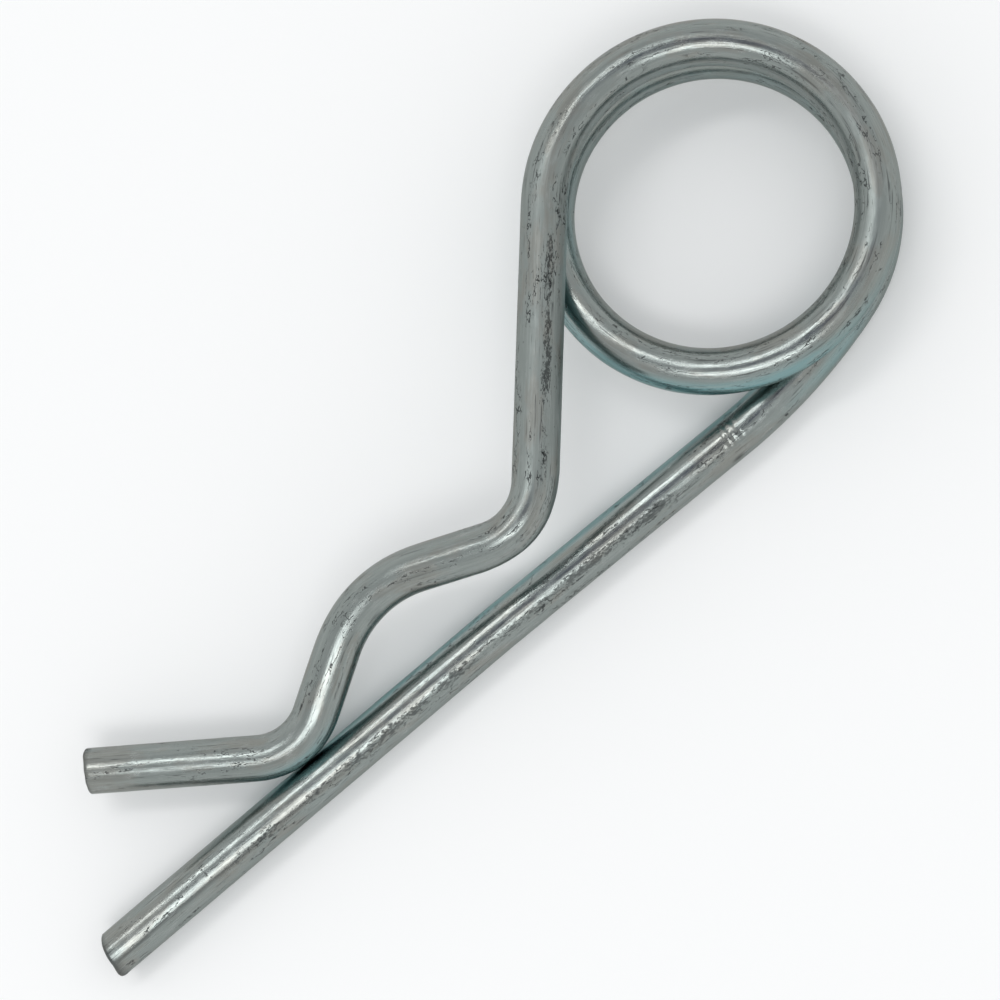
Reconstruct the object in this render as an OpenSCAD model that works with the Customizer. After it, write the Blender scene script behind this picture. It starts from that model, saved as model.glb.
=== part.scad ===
// Hitch R clip pin, bent in one piece from a length of round spring wire.
// Millimetres, +Z up. The clip lies in the XY plane with its straight leg along X.
// The origin is on the axis of the straight leg, at the middle of the shaft the clip locks onto.
// The wire is laid out as a bend table: a straight run, a bend, a straight run, and so on, each
// in the frame left by the one before it, from the tip of the straight leg to the end of the tail.

/* [Wire] */
// Diameter of the spring wire
wire_d = 5; // [4:0.1:6]
// Gap between neighbouring turns of the ring
turn_gap = 0.12; // [0.1:0.01:0.6]
// Gap between the low bend and the straight leg it nearly touches
leg_gap = 0.1; // [0.1:0.01:1]

/* [Ring] */
// Inside diameter of the ring, wide enough for a finger
ring_id = 30; // [26:0.5:36]
// From the middle of the shaft to the centre of the ring, along the leg
ring_x = 54; // [51:0.1:65]
// Planar bends the ring is made of, an even number
ring_bends = 10; // [8:2:14]

/* [Straight leg] */
// From the tip to the middle of the shaft
tip_len = 47; // [38:0.1:57]
// From the middle of the shaft to the slight bow in the leg
bow_x = 8; // [6:0.1:12]
// Angle of the slight bow, away from the waved leg
bow_deg = 1; // [0.8:0.1:1.2]
// Radius of the slight bow
bow_r = 40; // [30:1:50]
// Radius of the gentle bend that leads the leg into the ring
lead_r = 64; // [52:1:78]
// Angle of the gentle bend that leads the leg into the ring
lead_deg = 17; // [15:0.1:21]

/* [Waved leg] */
// Diameter of the shaft that fits between the hump and the straight leg's axis
shaft_d = 15.7; // [13:0.1:19]
// Radius of the hump over the shaft, on the wire's axis
hump_r = 14.4; // [12:0.1:17.4]
// Radius of the low bend beside the straight leg, on the wire's axis
low_r = 7.6; // [6.2:0.1:9.2]
// Length of the straight run between the hump and the low bend
fall_len = 6.8; // [5.4:0.1:8.2]
// Radius of the corner between the upright run and the hump, on the wire's axis
corner_r = 6.9; // [5.7:0.1:8.4]
// Length of the straight run between the corner and the hump
slope_len = 7.7; // [6.2:0.1:9.3]
// Height of the centre of the corner bend above the straight leg's axis
corner_y = 12.1; // [10.5:0.1:15]
// Angle between the tail and the straight leg
tail_deg = 35.6; // [29:0.1:43]
// Length of the straight tail
tail_len = 19; // [15:0.1:24]
// How far the low bend rides above the plane of the straight leg
low_lift = 2.75; // [2.2:0.05:3.3]

/* [Hidden] */
wire_fn = 40;                                   // sides of the round wire
pitch = wire_d + turn_gap;                      // climb of the ring for each full turn
ring_r = (ring_id + wire_d) / 2;                // radius of the ring on the wire's axis
ring_climb = atan(pitch / (2 * PI * ring_r));   // slope of the ring's wire

function dir(a) = [cos(a), sin(a)];
function left(a) = [-sin(a), cos(a)];
function unit(v) = v / norm(v);
function angle_of(v) = atan2(v[1], v[0]);
function up(p, z) = [p[0], p[1], z];

// the shaft's middle is the origin, so the hump's top stands clear of it by half the wire
hump_c = [0, shaft_d / 2 + wire_d / 2 - hump_r];
low_clear = sqrt(pow(wire_d + leg_gap, 2) - pow(low_lift, 2));
// how far along the leg two bends that turn opposite ways stand apart, joined by a straight run
function apart(run, ra, rb, rise) = sqrt(pow(run, 2) + pow(ra + rb, 2) - pow(rise, 2));
low_y = low_clear + low_r;
low_c = [-apart(fall_len, hump_r, low_r, low_y - hump_c[1]), low_y];
corner_c = [apart(slope_len, hump_r, corner_r, corner_y - hump_c[1]), corner_y];

// where the ring's centre falls: beyond the end of the gentle bend, on its left
lead_h = lead_deg - bow_deg;                    // heading where the ring begins
lead_t = lead_r * tan(lead_deg / 2);
// point of the leg's line beyond the bow, and the sharp corner of the gentle bend
ring_start_x = ring_x + ring_r * sin(lead_h);
lead_run = (ring_start_x - bow_x - lead_t * cos(lead_h)) / cos(bow_deg);
lead_v = [bow_x, 0] + lead_run * dir(-bow_deg);
ring_start = lead_v + lead_t * dir(lead_h);
ring_c = ring_start + ring_r * left(lead_h);

// headings of the straight runs, each a common tangent of two bends that turn opposite ways
function out_of_left(a, ra, b, rb) = angle_of(b - a) + asin((ra + rb) / norm(b - a));
function out_of_right(a, ra, b, rb) = angle_of(b - a) - asin((ra + rb) / norm(b - a));
function above(a, floor_a) = a < floor_a ? above(a + 360, floor_a) : a;
upright_h = above(out_of_left(ring_c, ring_r, corner_c, corner_r), lead_h + 450);
slope_h = above(out_of_right(corner_c, corner_r, hump_c, hump_r), upright_h - 180);
fall_h = above(out_of_left(hump_c, hump_r, low_c, low_r), slope_h);
tail_h = above(180 - tail_deg, fall_h - 180);
ring_turn = upright_h - lead_h;                 // total angle wound into the ring
ring_step = ring_turn / ring_bends;

// sharp corner of a flat bend about centre c, from heading a to heading b
function corner_of(c, r, a, b) =
    c + r / cos((b - a) / 2) * (b > a ? -1 : 1) * left((a + b) / 2);

corner_v = corner_of(corner_c, corner_r, upright_h, slope_h);
hump_v = corner_of(hump_c, hump_r, slope_h, fall_h);
low_v = corner_of(low_c, low_r, fall_h, tail_h);
low_half = (fall_h - tail_h) / 2;

// sharp corner of each bend of the ring, and its height: the ring climbs evenly
function ring_v(k) = ring_c - ring_r / cos(ring_step / 2) * left(lead_h + (k + 0.5) * ring_step);
function ring_z(k) = (lead_t + ring_r * (k + 0.5) * ring_step * PI / 180) * tan(ring_climb);

// the upright run is straight, so it keeps the ring's slope and stays clear of the turn beside it,
// and the waved leg comes back down from the corner towards the straight leg
ring_last = ring_bends - 1;
corner_z = ring_z(ring_last) + norm(corner_v - ring_v(ring_last)) * tan(ring_climb);
hump_z = low_lift + (corner_z - low_lift) * 0.48;
// the low bend's sharp corner lies a little under the bend itself, because one of its runs slopes
low_dip = low_r * (1 / cos(low_half) - 1) / (2 * sin(low_half)) * (hump_z - low_lift) / norm(hump_v - low_v);
low_z = low_lift - low_dip;

tip_p = [-tip_len, 0, 0];
low_t = low_r * tan(low_half);

// sharp corners of the wire's axis, tip first
wire_p = concat(
    [tip_p, [bow_x, 0, 0], up(lead_v, 0)],
    [for (k = [0 : ring_last]) up(ring_v(k), ring_z(k))],
    [up(corner_v, corner_z), up(hump_v, hump_z), up(low_v, low_z),
     up(low_v + (low_t + tail_len) * dir(tail_h), low_z)]);
last = len(wire_p) - 1;

function run_dir(i) = unit(wire_p[i + 1] - wire_p[i]);
function bend_deg(i) = let (u = run_dir(i - 1), v = run_dir(i)) atan2(norm(cross(u, v)), u * v);
function bend_axis(i) = i < 1 ? [0, 0, 1] : unit(cross(run_dir(i - 1), run_dir(i)));
function in_ring(i) = i > 2 && i < 3 + ring_bends;
// half of an inner side of the ring's polygon, so that its bends meet end to end
ring_half = norm(wire_p[4] - wire_p[3]) / 2;
// straight length each bend takes up, to either side of its sharp corner
function bend_t(i) =
    i < 1 || i >= last ? 0 : i == 2 ? norm(wire_p[3] - wire_p[2]) - ring_half : in_ring(i) ? ring_half :
    (i == 1 ? bow_r : i == last - 3 ? corner_r : i == last - 2 ? hump_r : low_r) * tan(bend_deg(i) / 2);
function bend_r(i) = bend_t(i) / tan(bend_deg(i) / 2);
function run_len(i) = norm(wire_p[i + 1] - wire_p[i]) - bend_t(i) - bend_t(i + 1);
// turn of the bending plane about the wire, from the last bend to this one
function twist(i) =
    let (a = bend_axis(i - 1), b = bend_axis(i), d = run_dir(i - 1)) atan2(cross(a, b) * d, a * b);

// every second piece is a hair thinner than the wire, so that it can run into its neighbours
// and the pieces join into one solid
joint_step = 0.01;
joint_in = 0.15;
function is_thin(i) = !in_ring(i) || i % 2 == 0;

module straight(l) {
    rotate([0, 90, 0]) cylinder(h = l, d = wire_d, $fn = wire_fn);
}

// a thin bend runs on a little way past both its ends, into its neighbours
module bend(r, a, thin) {
    over = thin ? joint_in / r * 180 / PI : 0;
    translate([0, r, 0]) rotate([0, 0, -90 - over])
        rotate_extrude(angle = a + 2 * over, $fn = r > 20 ? 180 : 60)
            translate([r, 0]) circle(d = wire_d - (thin ? 2 * joint_step : 0), $fn = wire_fn);
}

// the rest of the wire from corner i, in the frame at the end of that corner's bend
module wire_from(i) {
    l = run_len(i);
    if (l > 0.01) straight(l);
    if (i + 1 < last) {
        r = bend_r(i + 1);
        a = bend_deg(i + 1);
        translate([l > 0.01 ? l : 0, 0, 0]) rotate([twist(i + 1), 0, 0]) {
            bend(r, a, is_thin(i + 1));
            translate([0, r, 0]) rotate([0, 0, a]) translate([0, -r, 0]) wire_from(i + 1);
        }
    }
}

module clip_wire() {
    color("silver") translate(tip_p) wire_from(0);
}

clip_wire();
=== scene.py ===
import math

import bmesh
import bpy
from mathutils import Matrix, Vector, kdtree, noise


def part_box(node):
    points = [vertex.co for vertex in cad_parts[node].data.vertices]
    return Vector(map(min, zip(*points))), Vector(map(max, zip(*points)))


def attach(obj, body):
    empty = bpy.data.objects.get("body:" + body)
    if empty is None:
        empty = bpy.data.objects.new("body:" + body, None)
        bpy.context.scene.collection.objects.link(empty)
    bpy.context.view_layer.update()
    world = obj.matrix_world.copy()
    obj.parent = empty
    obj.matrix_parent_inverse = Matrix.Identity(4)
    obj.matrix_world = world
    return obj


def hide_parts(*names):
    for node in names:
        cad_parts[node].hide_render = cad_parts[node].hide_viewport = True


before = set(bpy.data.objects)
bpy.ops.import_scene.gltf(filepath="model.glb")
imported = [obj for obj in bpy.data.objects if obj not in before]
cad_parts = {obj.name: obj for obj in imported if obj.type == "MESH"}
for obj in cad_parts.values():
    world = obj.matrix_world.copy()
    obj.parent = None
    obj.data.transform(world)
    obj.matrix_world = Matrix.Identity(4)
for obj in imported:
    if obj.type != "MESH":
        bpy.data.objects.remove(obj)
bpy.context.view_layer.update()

mm = 0.001                                     # the wire is laid out in millimetres, Blender works in metres
print("stage 1: frame loaded,", sorted(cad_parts))

# wire layout, the same sizes as the CAD part

clip = {
    "wireD": 5.0,                              # diameter of the wire
    "turnGap": 0.12,                           # between neighbouring turns of the ring
    "legGap": 0.1,                             # between the low bend and the straight leg
    "ringId": 30.0, "ringX": 54.0, "ringBends": 10,
    "tipLen": 47.0, "bowX": 8.0, "bowDeg": 1.0, "bowR": 40.0,
    "leadR": 64.0, "leadDeg": 17.0,
    "shaftD": 15.7, "humpR": 14.4,
    "lowR": 7.6, "lowLift": 2.75, "fallLen": 6.8,
    "cornerR": 6.9, "cornerY": 12.1, "slopeLen": 7.7,
    "tailDeg": 35.6, "tailLen": 19.0,
    "humpShare": 0.48,                         # how far up the hump lies, from the low bend to the corner
}


def headingOf(deg):
    return Vector((math.cos(math.radians(deg)), math.sin(math.radians(deg))))


def leftOf(deg):
    return Vector((-math.sin(math.radians(deg)), math.cos(math.radians(deg))))


def angleOf(v):
    return math.degrees(math.atan2(v.y, v.x))


def above(deg, floorDeg):
    while deg < floorDeg:
        deg += 360.0
    return deg


# heading of the run from bend a to bend b, which turn opposite ways
def tangentHeading(a, ra, b, rb, side):
    return angleOf(b - a) + side * math.degrees(math.asin((ra + rb) / (b - a).length))


def sharpCorner(centre, r, a, b):              # where the two runs of a bend would meet
    half = math.radians((b - a) / 2)
    return centre + leftOf((a + b) / 2) * ((-1 if b > a else 1) * r / math.cos(half))


# how far apart along the leg two bends stand that a straight run joins
def apart(run, ra, rb, rise):
    return math.sqrt(run ** 2 + (ra + rb) ** 2 - rise ** 2)


def layOut(c):
    # sharp corners of the wire's axis from the tip, and the radius of the bend at each
    ringR = (c["ringId"] + c["wireD"]) / 2
    slope = (c["wireD"] + c["turnGap"]) / (2 * math.pi * ringR)
    hump = Vector((0, c["shaftD"] / 2 + c["wireD"] / 2 - c["humpR"]))
    lowClear = math.sqrt((c["wireD"] + c["legGap"]) ** 2 - c["lowLift"] ** 2)
    lowY = lowClear + c["lowR"]
    low = Vector((-apart(c["fallLen"], c["humpR"], c["lowR"], lowY - hump.y), lowY))
    corner = Vector((apart(c["slopeLen"], c["humpR"], c["cornerR"], c["cornerY"] - hump.y), c["cornerY"]))

    leadH = c["leadDeg"] - c["bowDeg"]
    leadT = c["leadR"] * math.tan(math.radians(c["leadDeg"] / 2))
    ringStartX = c["ringX"] + ringR * math.sin(math.radians(leadH))
    run = ringStartX - c["bowX"] - leadT * math.cos(math.radians(leadH))
    run /= math.cos(math.radians(c["bowDeg"]))
    leadV = Vector((c["bowX"], 0)) + headingOf(-c["bowDeg"]) * run
    ringC = leadV + headingOf(leadH) * leadT + leftOf(leadH) * ringR

    uprightH = above(tangentHeading(ringC, ringR, corner, c["cornerR"], 1), leadH + 450)
    slopeH = above(tangentHeading(corner, c["cornerR"], hump, c["humpR"], -1), uprightH - 180)
    fallH = above(tangentHeading(hump, c["humpR"], low, c["lowR"], 1), slopeH)
    tailH = above(180 - c["tailDeg"], fallH - 180)
    step = (uprightH - leadH) / c["ringBends"]

    cornerV = sharpCorner(corner, c["cornerR"], uprightH, slopeH)
    humpV = sharpCorner(hump, c["humpR"], slopeH, fallH)
    lowV = sharpCorner(low, c["lowR"], fallH, tailH)
    lowHalf = math.radians((fallH - tailH) / 2)

    points = [Vector((-c["tipLen"], 0, 0)), Vector((c["bowX"], 0, 0)), leadV.to_3d()]
    for k in range(c["ringBends"]):
        flat = ringC - leftOf(leadH + (k + 0.5) * step) * (ringR / math.cos(math.radians(step / 2)))
        climbed = (leadT + ringR * math.radians((k + 0.5) * step)) * slope
        points.append(Vector((flat.x, flat.y, climbed)))
    cornerZ = points[-1].z + (cornerV - points[-1].to_2d()).length * slope
    humpZ = c["lowLift"] + (cornerZ - c["lowLift"]) * c["humpShare"]
    dip = c["lowR"] * (1 / math.cos(lowHalf) - 1) / (2 * math.sin(lowHalf))
    lowZ = c["lowLift"] - dip * (humpZ - c["lowLift"]) / (humpV - lowV).length
    tailEnd = lowV + headingOf(tailH) * (c["lowR"] * math.tan(lowHalf) + c["tailLen"])
    points += [Vector((*flat, z)) for flat, z in
               ((cornerV, cornerZ), (humpV, humpZ), (lowV, lowZ), (tailEnd, lowZ))]

    last = len(points) - 1
    ringHalf = (points[4] - points[3]).length / 2
    named = {1: c["bowR"], last - 3: c["cornerR"], last - 2: c["humpR"], last - 1: c["lowR"]}
    bends = [0.0]
    for i in range(1, last):
        turn = (points[i] - points[i - 1]).angle(points[i + 1] - points[i])
        if i == 2:
            bends.append(((points[3] - points[2]).length - ringHalf) / math.tan(turn / 2))
        elif i < 3 + c["ringBends"] and i > 2:
            bends.append(ringHalf / math.tan(turn / 2))
        else:
            bends.append(named[i])
    return points, bends


# the wire, swept from its tip to its tail

sweep = {
    "sides": 72,                               # points round the wire
    "step": 0.42,                              # length of one stretch of the sweep
    "fineStep": 0.2,                           # the same on the run and the bend that meet at the die mark
    "endStep": 0.8,                            # first and last stretch, wider than the rounded rim
    "rim": 0.26,                               # rounding of the cut ends
    "capRings": 7, "capStep": 0.28,            # rings of faces across a cut end, and how wide each is
    "weld": 0.002,                             # the sweep's parts are joined where they meet
}


def sweepPart(bm, path, added, **spin):        # one run or bend, swept from a ring at the end of the last one
    here = path[-1]
    part = bmesh.new()
    ring = bmesh.ops.create_circle(part, cap_ends=False, radius=clip["wireD"] / 2 * mm,
                                   segments=sweep["sides"])
    across = Matrix((here["side"], here["ahead"].cross(here["side"]), here["ahead"])).transposed().to_4x4()
    bmesh.ops.transform(part, matrix=Matrix.Translation(here["at"] * mm) @ across, verts=ring["verts"])
    bmesh.ops.spin(part, geom=part.edges[:], steps=len(added), use_merge=False, use_normal_flip=False,
                   use_duplicate=False, **spin)
    first, before = len(path) - 1, len(bm.verts)
    joined = bpy.data.meshes.new("part")
    part.to_mesh(joined)
    part.free()
    bm.from_mesh(joined)
    bpy.data.meshes.remove(joined)
    bm.verts.ensure_lookup_table()
    for k in range(before, len(bm.verts)):     # a part's points come ring after ring
        bm.verts[k][station] = first + (k - before) // sweep["sides"]
    path += added


def sweepRun(bm, path, ahead, length, step):
    here = path[-1]
    count = max(1, round(length / step))
    added = [{"at": here["at"] + ahead * length * k / count, "ahead": ahead, "side": here["side"],
              "bow": Vector(), "s": here["s"] + length * k / count} for k in range(1, count + 1)]
    sweepPart(bm, path, added, cent=(0, 0, 0), axis=(0, 0, 1), dvec=ahead * length * mm / count, angle=0)


def sweepBend(bm, path, after, radius, step):
    here = path[-1]
    turn = here["ahead"].angle(after)
    inward = (after - here["ahead"] * here["ahead"].dot(after)).normalized()
    centre = here["at"] + inward * radius
    axis = here["ahead"].cross(after).normalized()
    count = max(2, round(radius * turn / step))
    added = []
    for k in range(1, count + 1):
        bent = Matrix.Rotation(turn * k / count, 3, axis)
        added.append({"at": centre - bent @ inward * radius, "ahead": bent @ here["ahead"],
                      "side": bent @ here["side"], "bow": -(bent @ inward) / radius,
                      "s": here["s"] + radius * turn * k / count})
    sweepPart(bm, path, added, cent=centre * mm, axis=axis, angle=turn)


def sweepWire(bm, points, bends):
    ahead = (points[1] - points[0]).normalized()
    path = [{"at": points[0].copy(), "ahead": ahead, "side": Vector((0, 1, 0)), "bow": Vector(), "s": 0.0}]
    spans = []
    last = len(points) - 1
    sweepRun(bm, path, ahead, sweep["endStep"], sweep["endStep"])
    for i in range(1, last + 1):
        ahead = (points[i] - points[i - 1]).normalized()
        step = sweep["fineStep"] if i == 2 else sweep["step"]
        if i == last:
            sweepRun(bm, path, ahead, (points[i] - path[-1]["at"]).length - sweep["endStep"], step)
            sweepRun(bm, path, ahead, sweep["endStep"], sweep["endStep"])
            break
        after = (points[i + 1] - points[i]).normalized()
        length = (points[i] - path[-1]["at"]).length - bends[i] * math.tan(ahead.angle(after) / 2)
        if length > 0.01:
            sweepRun(bm, path, ahead, length, step)
        begin = path[-1]["s"]
        sweepBend(bm, path, after, bends[i], step)
        spans.append((begin, path[-1]["s"]))
    bmesh.ops.remove_doubles(bm, verts=bm.verts, dist=sweep["weld"] * mm)
    rims = [e for e in bm.edges if e.is_boundary]
    bmesh.ops.edgeloop_fill(bm, edges=rims)
    return path, spans, rims


points, bends = layOut(clip)
bm = bmesh.new()
station = bm.verts.layers.int.new("station")
path, spans, rims = sweepWire(bm, points, bends)
wireLength = path[-1]["s"]
leadAt, ringEnd = spans[1][0], spans[-4][1]    # where the lead bend begins, and where the ring ends
cornerSpan, humpSpan, lowSpan = spans[-3:]
print("stage 2: wire swept,", len(path), "stations,", round(wireLength, 1), "mm,", len(bm.verts), "points")

# cut ends: a rounded rim, and an end face fine enough to be dished

bmesh.ops.bevel(bm, geom=rims, offset=sweep["rim"] * mm, offset_type="OFFSET", affect="EDGES", segments=5,
                profile=0.5, material=-1, clamp_overlap=True)
for _ in range(sweep["capRings"]):
    caps = [f for f in bm.faces if len(f.verts) == sweep["sides"]]
    bmesh.ops.inset_individual(bm, faces=caps, thickness=sweep["capStep"] * mm, use_even_offset=True)
bmesh.ops.poke(bm, faces=[f for f in bm.faces if len(f.verts) == sweep["sides"]])
print("stage 3: ends cut,", len(bm.verts), "points")

shape = {
    "flatten": {"corner": 0.3, "hump": 0.06, "low": 0.06, "ring": 0.03},     # outer side pressed flat
    "spread": 0.12,                            # share of that which the sides of a flattened bend gain
    "waver": 0.014,                            # unevenness of the drawn wire
    "tipSlant": 9.0, "tipNear": 0.10,          # the cut of the straight leg leans sideways and upwards
    "tipCrown": 0.32, "tailCrown": 0.22,       # how far the cut faces stand out in the middle
    "tailNear": 0.14,                          # the tail's cut leans back at the top
    "burr": 0.34, "burrAt": 161.0,             # lip the shear left on the tip, and how many degrees round
    "pinches": [(-0.8, 0.07, 0.26), (-0.1, 0.13, 0.3), (0.8, 0.06, 0.3)],    # die mark: place, depth, width
    "pinchRidge": 0.03, "pinchTurn": 96.0,
    "scuffTurn": 120.0, "lineTurn": 117.0,     # rubbed band and dark line of the straight leg, degrees round
}


def bump(t):                                   # smooth hill, 1 at 0 and 0 from 1 on
    t = min(1.0, abs(t))
    return (1 - t * t) ** 2


def ramp(a, b, t):
    t = max(0.0, min(1.0, (t - a) / (b - a)))
    return t * t * (3 - 2 * t)


def flattenAt(s):
    f = shape["flatten"]
    total = 0.0
    for span, amount in ((cornerSpan, f["corner"]), (humpSpan, f["hump"]), (lowSpan, f["low"]),
                         ((spans[2][0], ringEnd), f["ring"])):
        total += amount * ramp(span[0] - 1.5, span[0] + 2.0, s) * (1 - ramp(span[1] - 2.0, span[1] + 1.5, s))
    return total


bows = []                                      # outward side of each station, carried on into the runs
for k in range(len(path)):
    near = sum((path[max(0, min(len(path) - 1, k + d))]["bow"] for d in range(-4, 5)), Vector())
    bows.append(near.normalized() if near.length > 1e-4 else Vector())


def place(v):                                  # a point of the wire as round, up and along its axis
    k = v[station]
    co = v.co / mm
    if (co - points[0]).length < 3.2 and (co - points[0]).dot(path[0]["ahead"]) < sweep["endStep"] - 0.05:
        k = 0
    if (co - points[-1]).length < 3.2 and (co - points[-1]).dot(path[-1]["ahead"]) > 0.05 - sweep["endStep"]:
        k = len(path) - 1
    st = path[k]
    rel = co - st["at"]
    along = rel.dot(st["ahead"])
    up = st["ahead"].cross(st["side"])
    return k, st, rel - st["ahead"] * along, rel.dot(st["side"]), rel.dot(up), st["s"] + along


tree = kdtree.KDTree(len(path))                # finds where the wire passes close to itself
for k, st in enumerate(path):
    tree.insert(st["at"], k)
tree.balance()


# painted shade near a neighbouring wire and on some flanks, rubbed bands, and dark marks: painted contact
# shade where wires touch, a dark line on the straight leg, a dark ring at the cut ends and the die nick
def marksAndShadeAt(co, a, s):
    gap = min([d for at, k, d in tree.find_range(co, 7.5) if abs(path[k]["s"] - s) > 14.0], default=9.0)
    gap -= clip["wireD"] / 2
    inRing = ramp(leadAt + 12, leadAt + 22, s) * (1 - ramp(ringEnd - 8, ringEnd, s))
    backTurn = bump((s - 190) / 26)            # the part of the lower turn that shows below the upper one
    turn = math.degrees(a)
    # painted shade: a flank of the straight leg and a flank of the ring's lower turn are tinted as if in
    # shade
    legFlank = ramp(66, 38, turn) * ramp(-50, -10, turn) * ramp(12, 34, s) * (1 - ramp(104, 114, s))
    ringFlank = ramp(72, 30, 180 - abs(turn)) * bump((s - 196) / 30)
    shade = max(ramp(4.5, 0.2, gap) * (1 - 0.75 * inRing * (1 - backTurn)), legFlank, ringFlank)
    # painted contact shade: darker where another stretch of the wire comes within half a millimetre, a
    # quarter as dark inside the ring; the dark line, the dark ring at the cut ends and the die nick join it
    # below
    darkMarksAndShade = ramp(0.5, 0.15, gap) * (1.0 if s < leadAt or s > cornerSpan[1] else 0.25)
    stray = 3 * noise.noise(Vector((s * 0.2, 0, 0)))
    line = bump((turn - shape["lineTurn"] - stray) / 6) * (1 - ramp(24.0, 42.0, s))
    rim = 0.9 * max(bump((s - 0.12) / 0.3), bump((wireLength - s - 0.12) / 0.3))
    nick = bump((turn - 158) / 11) * bump((s - leadAt + 1.0) / 1.1)
    darkMarksAndShade = max(darkMarksAndShade, 0.85 * line, rim, nick)
    legBand = bump((turn - shape["scuffTurn"]) / 32) * ramp(0.0, 30.0, s)
    legBand *= 1 - ramp(leadAt - 6, leadAt + 4, s)
    uprightBand = bump((turn - 90) / 26) * ramp(ringEnd - 6, ringEnd + 6, s)
    uprightBand *= 1 - ramp(cornerSpan[0], cornerSpan[1], s)
    return Vector((shade, max(legBand, uprightBand), darkMarksAndShade))


def dullAt(s):                                 # the upright run and the ring's far side have lost their shine
    upright = ramp(ringEnd - 10, ringEnd + 2, s) * (1 - ramp(cornerSpan[0] - 3, cornerSpan[0] + 5, s))
    farSide = max(bump((s - 227) / 20), bump((s - 117) / 14))
    return max(upright, 0.45 * farSide)


def shapeWire(bm):
    wire = bm.verts.layers.float_vector.new("wire")
    # per point: X painted shade, Y rubbed bands, Z dark marks with painted contact shade
    marksAndShade = bm.verts.layers.float_vector.new("marksAndShade")
    dull = bm.verts.layers.float.new("dull")
    full = clip["wireD"] / 2
    for v in bm.verts:
        k, st, arm, x, y, s = place(v)
        v[wire] = Vector((x, y, s))
        r = math.hypot(x, y)
        outward = arm.normalized() if r > 1e-6 else Vector()
        a = math.atan2(y, x)
        move = 0.0
        if r > 0.9 * full:
            facing = max(0.0, outward.dot(bows[k]))
            move -= flattenAt(s) * facing ** 3
            move += shape["spread"] * flattenAt(s) * (1 - facing) * ramp(-0.7, 0.2, outward.dot(bows[k]))
            spot = Vector((math.cos(a) * 1.6, math.sin(a) * 1.6, s * 0.22))
            move += shape["waver"] * noise.noise(spot) + 0.4 * shape["waver"] * noise.noise(spot * 3.1)
            for at, depth, width in shape["pinches"]:
                t = (s - leadAt - at) / width
                over = bump((math.degrees(a) - shape["pinchTurn"]) / 62)
                ragged = 0.8 + 1.1 * noise.noise(Vector((a * 4, at * 3, 0)))
                move -= depth * bump(t) * over * ragged
                move += shape["pinchRidge"] * (bump(t - 1.3) + bump(t + 1.3)) * over * ragged
        axial = 0.0
        if s < sweep["endStep"] * 0.6:
            crown = 1 - min(1.0, (r / full) ** 2)
            fade = 1 - ramp(0.0, sweep["endStep"] * 0.6, s)
            axial -= shape["tipCrown"] * crown * fade
            axial += (math.tan(math.radians(shape["tipSlant"])) * x - shape["tipNear"] * y) * fade
            lip = bump((math.degrees(a) - shape["burrAt"]) / 42) * ramp(0.7, 1.0, r / full)
            axial -= shape["burr"] * lip * fade
            move += 0.5 * shape["burr"] * lip * fade
        if s > wireLength - sweep["endStep"] * 0.6:
            crown = 1 - min(1.0, (r / full) ** 2)
            fade = ramp(wireLength - sweep["endStep"] * 0.6, wireLength, s)
            axial += shape["tailCrown"] * crown * fade
            axial += (0.08 * noise.noise(Vector((x, y, 7)) * 0.9) - shape["tailNear"] * y) * fade
        v[marksAndShade] = marksAndShadeAt(v.co / mm, a, s)
        v[dull] = dullAt(s)
        v.co += (outward * move + st["ahead"] * axial) * mm


shapeWire(bm)
bmesh.ops.remove_doubles(bm, verts=bm.verts, dist=1e-7)
bmesh.ops.recalc_face_normals(bm, faces=bm.faces)
for f in bm.faces:
    f.smooth = True
mesh = bpy.data.meshes.new("zinc_clip")
bm.to_mesh(mesh)
bm.free()
clipPiece = bpy.data.objects.new("zinc_clip", mesh)
bpy.context.scene.collection.objects.link(clipPiece)
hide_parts("clip_wire")
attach(clipPiece, "root")
print("stage 4: wire shaped,", len(mesh.polygons), "faces")

# zinc finish, with painted shade

zinc = {
    "grey": (0.248, 0.276, 0.266), "warm": (0.245, 0.253, 0.236), "pale": (0.34, 0.365, 0.355),
    # the teal colour is painted shade; the last colour darkens scratches, pits and rubbed patches and also
    # paints contact shade where wires touch
    "tealShade": (0.17, 0.37, 0.39), "darkMarksAndShade": (0.03, 0.032, 0.034),
    "edgeTint": (0.72, 0.71, 0.69),            # how dark the wire goes at its outline
    "bumpStrength": 0.55, "bumpDepth": 0.00006,
}


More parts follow.
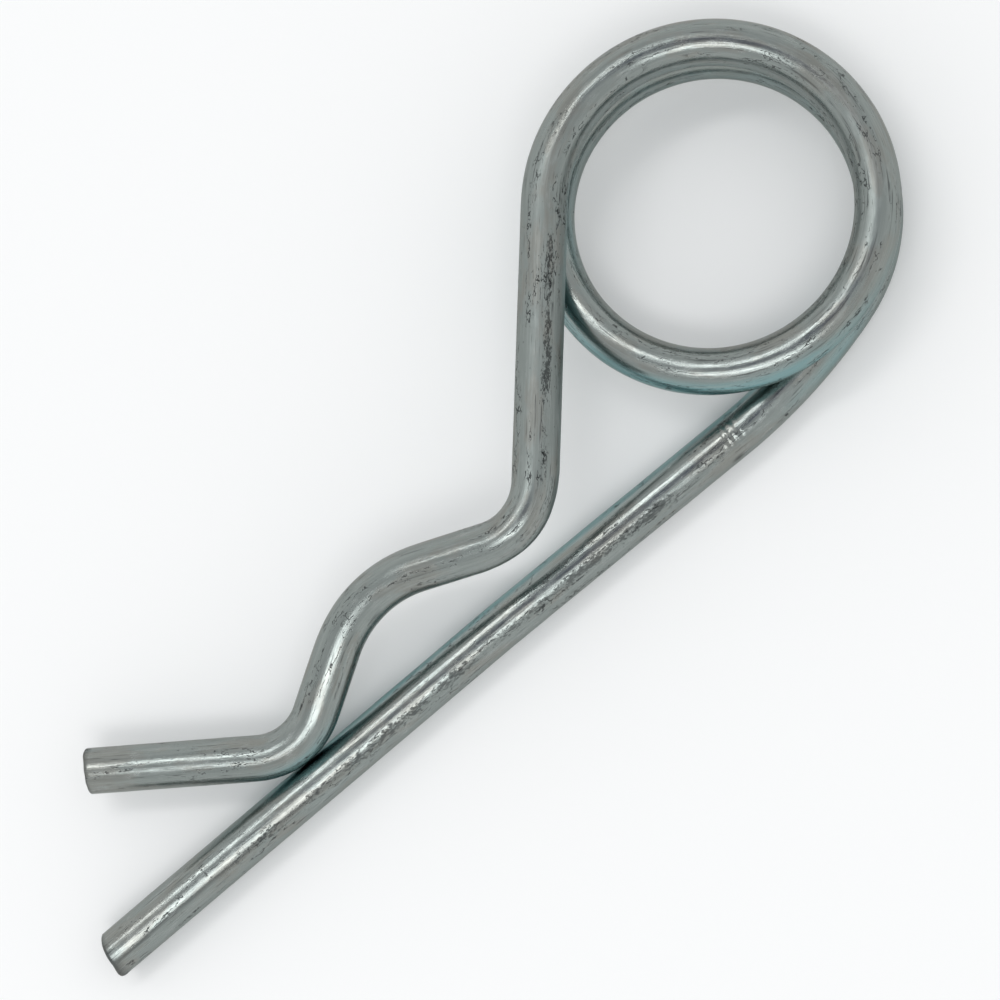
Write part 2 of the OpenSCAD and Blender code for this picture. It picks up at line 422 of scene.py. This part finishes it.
class Nodes:                                   # short words for adding and joining shader nodes
    def __init__(self, tree):
        self.tree = tree

    def add(self, kind, **settings):
        node = self.tree.nodes.new(kind)
        for name, value in settings.items():
            setattr(node, name, value)
        return node

    def put(self, socket, value):
        if isinstance(value, bpy.types.NodeSocket):
            self.tree.links.new(value, socket)
        else:
            socket.default_value = value

    def maths(self, operation, a, b, clamp=False):
        node = self.add("ShaderNodeMath", operation=operation, use_clamp=clamp)
        for socket, value in zip(node.inputs, (a, b)):
            self.put(socket, value)
        return node.outputs[0]

    def scaled(self, vector, scale):
        node = self.add("ShaderNodeVectorMath", operation="MULTIPLY")
        self.put(node.inputs[0], vector)
        node.inputs[1].default_value = scale
        return node.outputs[0]

    def noise(self, vector, scale, detail=3.0, rough=0.5):
        node = self.add("ShaderNodeTexNoise")
        self.put(node.inputs["Vector"], vector)
        for name, value in (("Scale", scale), ("Detail", detail), ("Roughness", rough)):
            self.put(node.inputs[name], value)
        return node.outputs["Fac"]

    def cells(self, vector, scale, feature="F1"):
        node = self.add("ShaderNodeTexVoronoi", feature=feature)
        self.put(node.inputs["Vector"], vector)
        self.put(node.inputs["Scale"], scale)
        return node

    def ramp(self, value, low, high, outLow=0.0, outHigh=1.0):
        node = self.add("ShaderNodeMapRange", interpolation_type="SMOOTHSTEP")
        for name, given in (("Value", value), ("From Min", low), ("From Max", high),
                            ("To Min", outLow), ("To Max", outHigh)):
            self.put(node.inputs[name], given)
        return node.outputs[0]

    def blend(self, amount, a, b):
        node = self.add("ShaderNodeMix", data_type="RGBA")
        self.put(node.inputs["Factor"], amount)
        self.put(node.inputs[6], (*a, 1) if isinstance(a, tuple) else a)
        self.put(node.inputs[7], (*b, 1) if isinstance(b, tuple) else b)
        return node.outputs[2]


def newGroup(name, inputs, outputs):
    tree = bpy.data.node_groups.new(name, "ShaderNodeTree")
    for kind, sockets in (("INPUT", inputs), ("OUTPUT", outputs)):
        for socketName, socketType, value in sockets:
            socket = tree.interface.new_socket(socketName, in_out=kind, socket_type=socketType)
            if value is not None:
                socket.default_value = value
    n = Nodes(tree)
    return n, n.add("NodeGroupInput").outputs, n.add("NodeGroupOutput").inputs


def buildDrawnLines():                         # fine lines the drawing die leaves along the wire
    n, given, out = newGroup("drawnLines", [
        ("Wire", "NodeSocketVector", None), ("Fineness", "NodeSocketFloat", 5.0)], [
        ("Height", "NodeSocketFloat", None), ("Streaks", "NodeSocketFloat", None)])
    fine = n.noise(n.scaled(given["Wire"], (1.0, 1.0, 0.035)), given["Fineness"], 4.0, 0.65)
    broad = n.noise(n.scaled(given["Wire"], (1.0, 1.0, 0.05)), 1.6, 3.0, 0.6)
    n.put(out["Height"], n.maths("ADD", n.maths("MULTIPLY", fine, 0.6), n.maths("MULTIPLY", broad, 0.4)))
    n.put(out["Streaks"], n.ramp(fine, 0.42, 0.66))
    return n.tree


def buildSquiggles():                          # short wavy chains of rubbed cells, hairlines and small pits
    n, given, out = newGroup("squiggles", [
        ("Wire", "NodeSocketVector", None), ("Amount", "NodeSocketFloat", 0.5)], [
        ("Chains", "NodeSocketFloat", None), ("Hairs", "NodeSocketFloat", None),
        ("Pits", "NodeSocketFloat", None)])
    wavy = n.add("ShaderNodeVectorMath", operation="ADD")
    shake = n.add("ShaderNodeTexNoise")
    n.put(shake.inputs["Vector"], given["Wire"])
    n.put(shake.inputs["Scale"], 1.6)
    n.put(wavy.inputs[0], n.scaled(given["Wire"], (1.0, 1.0, 0.14)))
    n.put(wavy.inputs[1], n.scaled(shake.outputs["Color"], (0.42, 0.42, 0.42)))
    edge = n.cells(wavy.outputs[0], 2.4, "DISTANCE_TO_EDGE").outputs["Distance"]
    line = n.maths("SUBTRACT", 1.0, n.ramp(edge, 0.02, 0.075))
    where = n.noise(n.scaled(given["Wire"], (1.0, 1.0, 0.16)), 0.85, 2.0)
    amount = n.maths("MULTIPLY", given["Amount"], n.ramp(where, 0.5, 0.6))
    broken = n.ramp(n.noise(n.scaled(given["Wire"], (1.0, 1.0, 0.5)), 2.6, 3.0), 0.44, 0.54)
    n.put(out["Chains"], n.maths("MULTIPLY", n.maths("MULTIPLY", line, broken), amount))
    hair = n.ramp(n.noise(n.scaled(given["Wire"], (1.0, 1.0, 0.03)), 5.5, 2.0), 0.6, 0.69)
    ends = n.ramp(n.noise(n.scaled(given["Wire"], (1.0, 1.0, 0.25)), 1.2, 2.0), 0.46, 0.56)
    n.put(out["Hairs"], n.maths("MULTIPLY", hair, ends))
    spread = n.scaled(given["Wire"], (1.0, 1.0, 0.6))
    pits = n.cells(spread, 2.6)
    kept = n.ramp(pits.outputs["Color"], 0.78, 0.8)
    inside = n.maths("SUBTRACT", 1.0, n.ramp(pits.outputs["Distance"], 0.05, 0.15))
    n.put(out["Pits"], n.maths("MULTIPLY", inside, kept))
    return n.tree


def buildScuffs():                             # ragged dark patches where the wire has been rubbed
    n, given, out = newGroup("scuffs", [
        ("Wire", "NodeSocketVector", None), ("Where", "NodeSocketFloat", 0.0)], [
        ("Patches", "NodeSocketFloat", None)])
    grain = n.noise(n.scaled(given["Wire"], (1.0, 1.0, 0.42)), 4.2, 5.0, 0.75)
    clump = n.noise(n.scaled(given["Wire"], (1.0, 1.0, 0.4)), 0.6, 2.0)
    level = n.maths("ADD", grain, n.maths("MULTIPLY", n.maths("SUBTRACT", clump, 0.5), 0.5))
    limit = n.maths("SUBTRACT", 0.82, n.maths("MULTIPLY", given["Where"], 0.36))
    n.put(out["Patches"], n.ramp(n.maths("SUBTRACT", level, limit), -0.03, 0.09))
    return n.tree


def placeGroup(n, tree, **values):
    node = n.add("ShaderNodeGroup", node_tree=tree)
    for name, value in values.items():
        n.put(node.inputs[name], value)
    return node.outputs


drawnLines, squiggles, scuffs = buildDrawnLines(), buildSquiggles(), buildScuffs()


def buildZinc():
    material = bpy.data.materials.new("zincPlateAndShade")
    material.use_nodes = True
    n = Nodes(material.node_tree)
    shader = material.node_tree.nodes["Principled BSDF"]
    wire = n.add("ShaderNodeAttribute", attribute_name="wire").outputs["Vector"]
    normal = n.add("ShaderNodeTexCoord").outputs["Normal"]
    side = n.add("ShaderNodeSeparateXYZ")
    n.put(side.inputs[0], normal)
    marksAndShade = n.add("ShaderNodeSeparateXYZ")
    n.put(marksAndShade.inputs[0], n.add("ShaderNodeAttribute", attribute_name="marksAndShade").outputs["Vector"])
    lines = placeGroup(n, drawnLines, Wire=wire)
    chains = placeGroup(n, squiggles, Wire=wire, Amount=1.0)
    rubbed = placeGroup(n, scuffs, Wire=wire, Where=marksAndShade.outputs["Y"])["Patches"]
    patches = n.noise(n.scaled(wire, (1.0, 1.0, 0.3)), 0.45, 3.0, 0.6)
    clouds = n.noise(n.scaled(wire, (1.0, 1.0, 0.35)), 1.3, 4.0, 0.65)
    colour = n.blend(n.ramp(patches, 0.45, 0.6), zinc["grey"], zinc["warm"])
    colour = n.blend(n.ramp(clouds, 0.52, 0.7, 0.0, 0.4), colour, zinc["pale"])
    # painted shade: faces that look down get a teal tint broken up by noise, and so do the places in the X
    # mark; faces that look up are kept clear
    under = n.ramp(side.outputs["Z"], 0.5, -0.2)
    patchyUnderShade = n.maths("MULTIPLY", under, n.ramp(patches, 0.35, 0.6, 0.12, 0.4))
    shaded = n.maths("ADD", patchyUnderShade, marksAndShade.outputs["X"], clamp=True)
    shaded = n.maths("MULTIPLY", shaded, n.ramp(side.outputs["Z"], 0.95, 0.45))
    colour = n.blend(n.maths("MULTIPLY", shaded, 0.8), colour, zinc["tealShade"])
    colour = n.blend(n.maths("MULTIPLY", lines["Streaks"], 0.35), colour, zinc["pale"])
    # dark colour for scratches, pits and rubbed patches; the Z mark adds painted contact shade where wires
    # touch, along with the dark line, the cut-end ring and the die nick
    for mask, strength in ((chains["Chains"], 0.8), (chains["Hairs"], 0.55), (chains["Pits"], 0.8),
                           (rubbed, 0.6), (marksAndShade.outputs["Z"], 0.7)):
        colour = n.blend(n.maths("MULTIPLY", mask, strength), colour, zinc["darkMarksAndShade"])
    n.put(shader.inputs["Base Color"], colour)
    shader.inputs["Metallic"].default_value = 1.0
    shader.inputs["Specular Tint"].default_value = (*zinc["edgeTint"], 1)
    rough = n.ramp(clouds, 0.3, 0.7, 0.17, 0.28)
    worn = n.maths("ADD", n.maths("MULTIPLY", chains["Chains"], 0.25), n.maths("MULTIPLY", rubbed, 0.3))
    dull = n.add("ShaderNodeAttribute", attribute_name="dull").outputs["Fac"]
    worn = n.maths("ADD", worn, n.maths("MULTIPLY", dull, 0.3))
    n.put(shader.inputs["Roughness"], n.maths("ADD", rough, worn))
    height = n.maths("ADD", n.maths("MULTIPLY", lines["Height"], 0.7),
                     n.maths("MULTIPLY", n.noise(n.scaled(wire, (1.0, 1.0, 0.3)), 2.4, 4.0, 0.6), 0.4))
    dents = n.maths("ADD", n.maths("ADD", chains["Chains"], chains["Pits"]), rubbed)
    height = n.maths("SUBTRACT", height, n.maths("MULTIPLY", dents, 0.25))
    bumped = n.add("ShaderNodeBump")
    bumped.inputs["Strength"].default_value = zinc["bumpStrength"]
    bumped.inputs["Distance"].default_value = zinc["bumpDepth"]
    n.put(bumped.inputs["Height"], height)
    n.put(shader.inputs["Normal"], bumped.outputs[0])
    return material


mesh.materials.append(buildZinc())
print("stage 5: zinc finish made")

# camera, floor and lamps

studio = {
    "cameraAt": (0.030686, -0.049069, 0.293398), "cameraTurn": (7.1039, 9.4543, -39.5241), "lens": 99.94,
    "sky": (0.64, 0.65, 0.655), "skyline": (0.82, 0.83, 0.825),
    "overhead": (0.13, 0.14, 0.20),            # dark patch straight above, as of a camera
    "floorTone": 0.92, "floorSize": 3.0,
    "floorGap": 0.00003,                       # the wire's unevenness reaches a little under the CAD box
    "exposure": 0.26,
    # each lamp: place of its two ends, width in metres, strength as radiance
    "lampHeight": 1.0,
    "lamps": [
        ((-0.47, -0.08), (-0.06, -0.68), 0.24, 3.2),
        ((-0.36, 0.60), (0.26, 0.34), 0.15, 4.0),
    ],
}
cameraData = bpy.data.cameras.new("camera")
cameraData.lens = studio["lens"]
cameraData.sensor_width = 36.0
cameraData.clip_start = 0.01
camera = bpy.data.objects.new("camera", cameraData)
camera.location = studio["cameraAt"]
camera.rotation_euler = [math.radians(a) for a in studio["cameraTurn"]]
bpy.context.scene.collection.objects.link(camera)
bpy.context.scene.camera = camera

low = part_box("clip_wire")[0]
floorMesh = bpy.data.meshes.new("floor")
fb = bmesh.new()
bmesh.ops.create_grid(fb, x_segments=1, y_segments=1, size=studio["floorSize"])
bmesh.ops.translate(fb, vec=(0, 0, low[2] - studio["floorGap"]), verts=fb.verts)
fb.to_mesh(floorMesh)
fb.free()
floorPiece = bpy.data.objects.new("floor", floorMesh)
floorMaterial = bpy.data.materials.new("floorPaper")
floorMaterial.use_nodes = True
paper = floorMaterial.node_tree.nodes["Principled BSDF"]
paper.inputs["Base Color"].default_value = (studio["floorTone"],) * 3 + (1,)
paper.inputs["Roughness"].default_value = 0.9
paper.inputs["Specular IOR Level"].default_value = 0.1
floorMesh.materials.append(floorMaterial)
bpy.context.scene.collection.objects.link(floorPiece)

for k, (a, b, width, radiance) in enumerate(studio["lamps"]):
    lampData = bpy.data.lights.new("lamp%d" % k, "AREA")
    lampData.shape = "RECTANGLE"
    a3, b3 = Vector((*a, studio["lampHeight"])), Vector((*b, studio["lampHeight"]))
    lampData.size = (b3 - a3).length
    lampData.size_y = width
    lampData.energy = radiance * math.pi * lampData.size * width
    lamp = bpy.data.objects.new("lamp%d" % k, lampData)
    facing = (a3 + b3).normalized()
    run = (b3 - a3).normalized()
    run = (run - facing * run.dot(facing)).normalized()
    turned = Matrix((run, facing.cross(run), facing)).transposed().to_4x4()
    lamp.matrix_world = Matrix.Translation((a3 + b3) / 2) @ turned
    bpy.context.scene.collection.objects.link(lamp)

world = bpy.data.worlds.new("studio")
world.use_nodes = True
bpy.context.scene.world = world
w = Nodes(world.node_tree)
background = world.node_tree.nodes["Background"]
direction = w.add("ShaderNodeSeparateXYZ")
w.put(direction.inputs[0], w.add("ShaderNodeTexCoord").outputs["Generated"])
sky = w.blend(w.ramp(direction.outputs["Z"], 0.15, 0.8), studio["skyline"], studio["sky"])
overhead = w.ramp(direction.outputs["Z"], 0.97, 0.995)
w.put(background.inputs["Color"], w.blend(overhead, sky, studio["overhead"]))
bpy.context.scene.view_settings.view_transform = "Standard"
bpy.context.scene.view_settings.exposure = studio["exposure"]
print("stage 6: camera, floor and", len(studio["lamps"]), "lamps set")
